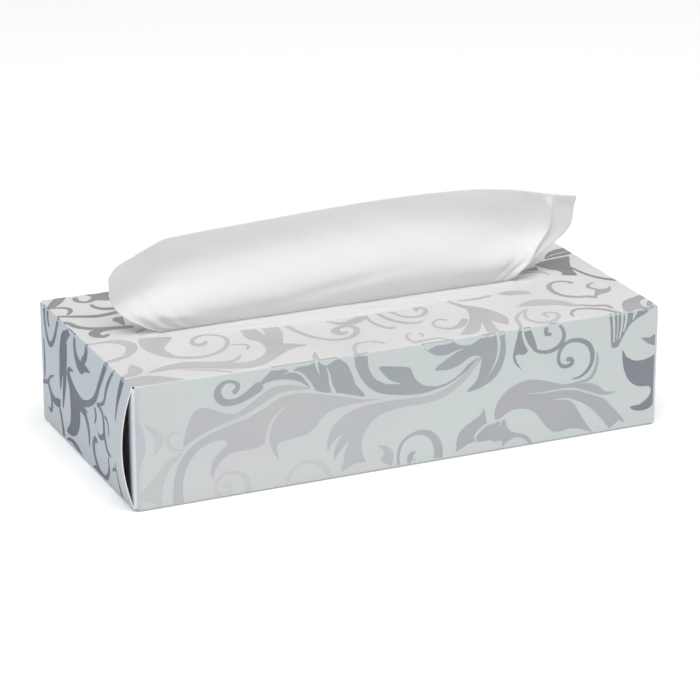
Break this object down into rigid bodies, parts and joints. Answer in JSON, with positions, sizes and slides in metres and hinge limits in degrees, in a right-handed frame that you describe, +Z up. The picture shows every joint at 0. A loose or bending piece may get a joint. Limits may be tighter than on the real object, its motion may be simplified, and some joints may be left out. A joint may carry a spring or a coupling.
{
  "type": "flat facial tissue box",
  "caption": "Flat printed paperboard box with a slit film window in a lens-shaped cut-out and a facial tissue pulled up through it.",
  "frame": {"origin": "middle of the base, on the surface that the box rests on", "axes": "+X along the long side, to the right of the front panel; +Y from the front panel to the back panel; +Z up"},
  "size_m": [0.2346, 0.11, 0.0904],
  "materials": {
    "carton_board": "satin",
    "window_film": "gloss",
    "tissue_paper": "matte"
  },
  "bodies": {
    "root": {"carton": "carton_board", "film_window": "window_film", "tissue_stack": "tissue_paper", "popped_tissue": "tissue_paper"}
  },
  "joints": []
}
